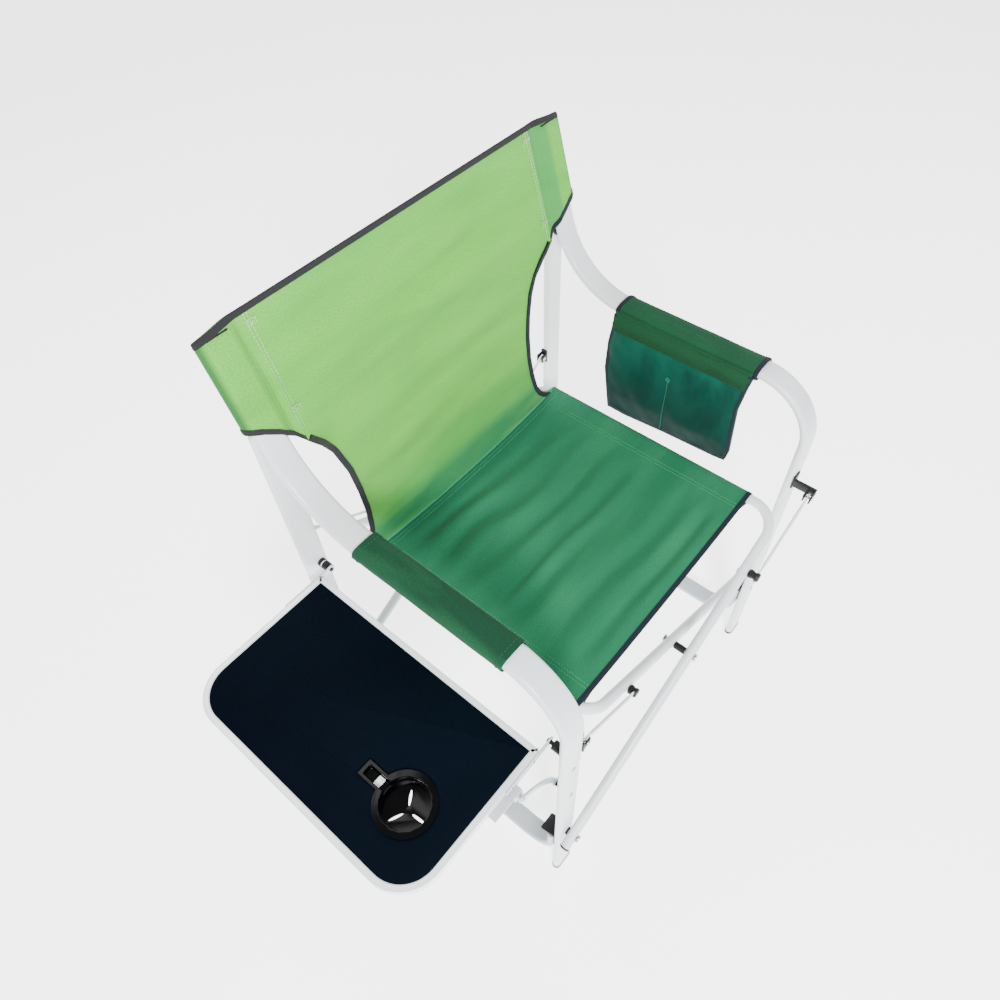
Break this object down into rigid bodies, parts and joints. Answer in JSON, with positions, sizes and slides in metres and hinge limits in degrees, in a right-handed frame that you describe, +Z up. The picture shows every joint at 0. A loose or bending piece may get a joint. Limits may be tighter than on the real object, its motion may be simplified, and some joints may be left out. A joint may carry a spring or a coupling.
{
  "type": "folding director chair",
  "caption": "Folding director chair on a scissor frame, with a fabric sling seat and back, flat-oval arm tubes, a folding side table with a cup well, and an arm pocket.",
  "frame": {"origin": "on the floor, at the middle of the whole object's bounding box, table included", "axes": "+Z up, the chair faces -Y, +X is the sitter's left, so the side table is on -X"},
  "size_m": [0.862, 0.5724, 0.913],
  "materials": {
    "tube_white": "satin white",
    "black_plastic": "satin black",
    "bolt_steel": "plated",
    "seat_green": "woven polyester, darker green",
    "back_green": "woven polyester, lighter green",
    "arm_green": "woven polyester, dark green",
    "pocket_teal": "smooth coated nylon, teal",
    "binding_navy": "woven tape",
    "board_black": "fine-grained laminate",
    "edge_silver": "satin",
    "cup_black": "gloss"
  },
  "bodies": {
    "right_side": {"arm_tube_right": "tube_white", "rear_leg_right": "tube_white", "lower_rail_right": "tube_white", "upright_plug_right": "black_plastic", "leg_joint_right": "black_plastic", "arm_sleeve_right": "arm_green", "back_sleeve_right": "back_green", "rail_connector_front_right": "black_plastic", "foot_plug_front_right": "black_plastic", "stay_bracket_front_right": "black_plastic", "pivot_bolt_front_right": "black_plastic", "rail_connector_rear_right": "black_plastic", "foot_plug_rear_right": "black_plastic", "stay_bracket_rear_right": "black_plastic", "pivot_bolt_rear_right": "black_plastic", "back_panel": "back_green", "table_bolt_front": "black_plastic", "table_bolt_rear": "black_plastic", "brace_peg": "black_plastic"},
    "left_side": {"arm_tube_left": "tube_white", "rear_leg_left": "tube_white", "lower_rail_left": "tube_white", "upright_plug_left": "black_plastic", "leg_joint_left": "black_plastic", "arm_sleeve_left": "arm_green", "back_sleeve_left": "back_green", "rail_connector_front_left": "black_plastic", "foot_plug_front_left": "black_plastic", "stay_bracket_front_left": "black_plastic", "pivot_bolt_front_left": "black_plastic", "rail_connector_rear_left": "black_plastic", "foot_plug_rear_left": "black_plastic", "stay_bracket_rear_left": "black_plastic", "pivot_bolt_rear_left": "black_plastic", "pocket_back_panel": "pocket_teal", "pocket_front_panel": "pocket_teal", "pocket_binding": "binding_navy"},
    "frame_a": {"seat_frame_a": "tube_white", "cross_bolt_front": "black_plastic", "cross_bolt_rear": "black_plastic", "seat_panel": "seat_green"},
    "frame_b": {"seat_frame_b": "tube_white"},
    "table": {"table_board": "board_black", "table_rim": "edge_silver", "cup_holder": "cup_black", "table_bracket_front": "edge_silver", "table_bracket_rear": "edge_silver", "brace_plate": "edge_silver"},
    "brace": {"brace_strap": "edge_silver"},
    "stay_front_right": {"stay_front_right": "tube_white", "stay_knob_front_right": "black_plastic"},
    "stay_rear_right": {"stay_rear_right": "tube_white", "stay_knob_rear_right": "black_plastic"},
    "stay_front_left": {"stay_front_left": "tube_white", "stay_knob_front_left": "black_plastic"},
    "stay_rear_left": {"stay_rear_left": "tube_white", "stay_knob_rear_left": "black_plastic"}
  },
  "joints": [
    {"name": "fold", "type": "hinge", "parent": "right_side", "child": "frame_a", "pos_m": [-0.17398, 0, 0.19], "axis": [0, -1, 0], "range_deg": [0, 37.5], "deforming": ["seat_panel", "back_panel"]},
    {"name": "scissor", "type": "hinge", "parent": "frame_a", "child": "frame_b", "pos_m": [0.11702, 0, 0.348], "axis": [0, -1, 0], "range_deg": [-75, 0]},
    {"name": "left_side_pivot", "type": "hinge", "parent": "frame_b", "child": "left_side", "pos_m": [0.40802, 0, 0.19], "axis": [0, -1, 0], "range_deg": [0, 37.5]},
    {"name": "stay_front_right_pivot", "type": "hinge", "parent": "right_side", "child": "stay_front_right", "pos_m": [-0.14498, 0, 0.497], "axis": [0, -1, 0], "range_deg": [0, 103.82]},
    {"name": "stay_rear_right_pivot", "type": "hinge", "parent": "right_side", "child": "stay_rear_right", "pos_m": [-0.14498, 0, 0.497], "axis": [0, -1, 0], "range_deg": [0, 103.82]},
    {"name": "stay_front_left_pivot", "type": "hinge", "parent": "left_side", "child": "stay_front_left", "pos_m": [0.37902, 0, 0.497], "axis": [0, 1, 0], "range_deg": [0, 103.82]},
    {"name": "stay_rear_left_pivot", "type": "hinge", "parent": "left_side", "child": "stay_rear_left", "pos_m": [0.37902, 0, 0.497], "axis": [0, 1, 0], "range_deg": [0, 103.82]},
    {"name": "table_fold", "type": "hinge", "parent": "right_side", "child": "table", "pos_m": [-0.16798, 0, 0.479], "axis": [0, -1, 0], "range_deg": [0, 90]},
    {"name": "brace_pivot", "type": "hinge", "parent": "table", "child": "brace", "pos_m": [-0.24098, 0, 0.458], "axis": [0, 1, 0], "range_deg": [0, 120.8]}
  ],
  "couplings": [
    {"joint": "scissor", "follows": "fold", "ratio": -2},
    {"joint": "left_side_pivot", "follows": "fold", "ratio": 1},
    {"joint": "stay_front_right_pivot", "follows": "fold", "ratio": 2.7686},
    {"joint": "stay_rear_right_pivot", "follows": "fold", "ratio": 2.7686},
    {"joint": "stay_front_left_pivot", "follows": "fold", "ratio": 2.7686},
    {"joint": "stay_rear_left_pivot", "follows": "fold", "ratio": 2.7686},
    {"joint": "brace_pivot", "follows": "table_fold", "ratio": 1.3422}
  ]
}
